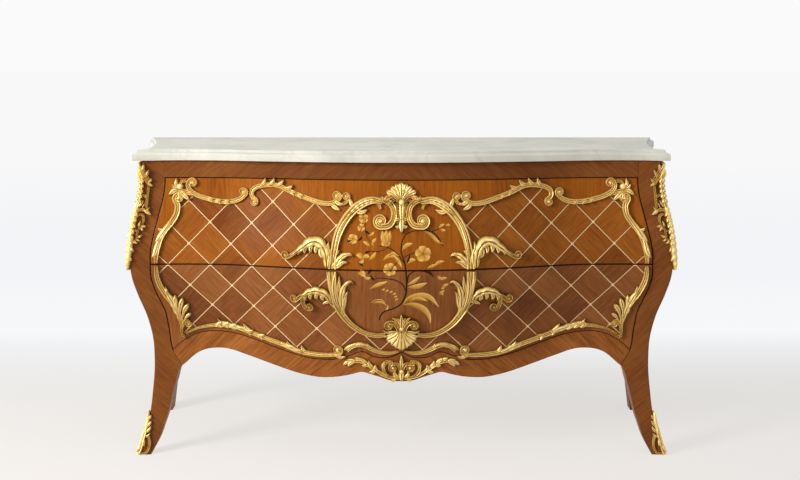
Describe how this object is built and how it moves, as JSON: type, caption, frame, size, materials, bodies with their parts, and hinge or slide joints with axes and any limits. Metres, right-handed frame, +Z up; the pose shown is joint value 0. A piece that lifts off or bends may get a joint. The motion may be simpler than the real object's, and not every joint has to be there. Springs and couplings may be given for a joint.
{
  "type": "commode chest",
  "caption": "Bombé commode chest: serpentine drawer fronts that slide out between shaped corner legs, under a moulded marble top, dressed with gilt scroll mounts.",
  "frame": {"origin": "on the floor, under the middle of the whole chest's box", "axes": "+X along the width to the right of someone facing the chest, +Y to the back, +Z up; the drawers slide out along -Y"},
  "size_m": [1.6, 0.602, 0.875],
  "materials": {
    "marble": "honed pale grey-cream marble",
    "veneer": "polished lozenge-parquetry veneer with pale string inlay",
    "cross_veneer": "polished cross-banded veneer",
    "oak": "planed unpolished secondary wood",
    "gilt_brass": "chased and gilt castings, matt hollows and burnished highlights"
  },
  "bodies": {
    "carcass": {"marble_top": "marble", "front_leg_right": "cross_veneer", "front_leg_left": "cross_veneer", "rear_leg_right": "cross_veneer", "rear_leg_left": "cross_veneer", "side_panel_right": "veneer", "side_panel_left": "veneer", "frieze_rail": "cross_veneer", "front_apron": "cross_veneer", "back_panel": "oak", "top_rear_rail": "oak", "top_board": "oak", "bottom_board": "oak", "divider_rail": "oak", "dust_board": "oak", "upper_runner_right": "oak", "upper_runner_left": "oak", "lower_runner_right": "oak", "lower_runner_left": "oak", "upper_drawer_stop": "oak", "lower_drawer_stop": "oak", "apron_mount": "gilt_brass", "corner_chute_right": "gilt_brass", "corner_chute_left": "gilt_brass", "foot_sabot_right": "gilt_brass", "foot_sabot_left": "gilt_brass"},
    "upper_drawer": {"upper_drawer_front": "veneer", "upper_drawer_side_right": "oak", "upper_drawer_side_left": "oak", "upper_drawer_back": "oak", "upper_drawer_bottom": "oak", "corner_shell_right": "gilt_brass", "corner_shell_left": "gilt_brass", "top_scroll_right": "gilt_brass", "top_scroll_left": "gilt_brass", "inner_scroll_right": "gilt_brass", "inner_scroll_left": "gilt_brass", "upper_side_scroll_right": "gilt_brass", "upper_side_scroll_left": "gilt_brass", "cartouche_arm_upper_right": "gilt_brass", "cartouche_arm_upper_left": "gilt_brass", "crest_shell": "gilt_brass", "upper_pull_right": "gilt_brass", "upper_pull_left": "gilt_brass"},
    "lower_drawer": {"lower_drawer_front": "veneer", "lower_drawer_side_right": "oak", "lower_drawer_side_left": "oak", "lower_drawer_back": "oak", "lower_drawer_bottom": "oak", "lower_side_scroll_right": "gilt_brass", "lower_side_scroll_left": "gilt_brass", "rail_scroll_right": "gilt_brass", "rail_scroll_left": "gilt_brass", "rail_link_right": "gilt_brass", "rail_link_left": "gilt_brass", "cartouche_arm_lower_right": "gilt_brass", "cartouche_arm_lower_left": "gilt_brass", "palmette": "gilt_brass", "lower_pull_right": "gilt_brass", "lower_pull_left": "gilt_brass"}
  },
  "joints": [
    {"name": "upper_drawer_slide", "type": "slide", "parent": "carcass", "child": "upper_drawer", "axis": [0, -1, 0], "range_m": [0, 0.3]},
    {"name": "lower_drawer_slide", "type": "slide", "parent": "carcass", "child": "lower_drawer", "axis": [0, -1, 0], "range_m": [0, 0.3]}
  ]
}
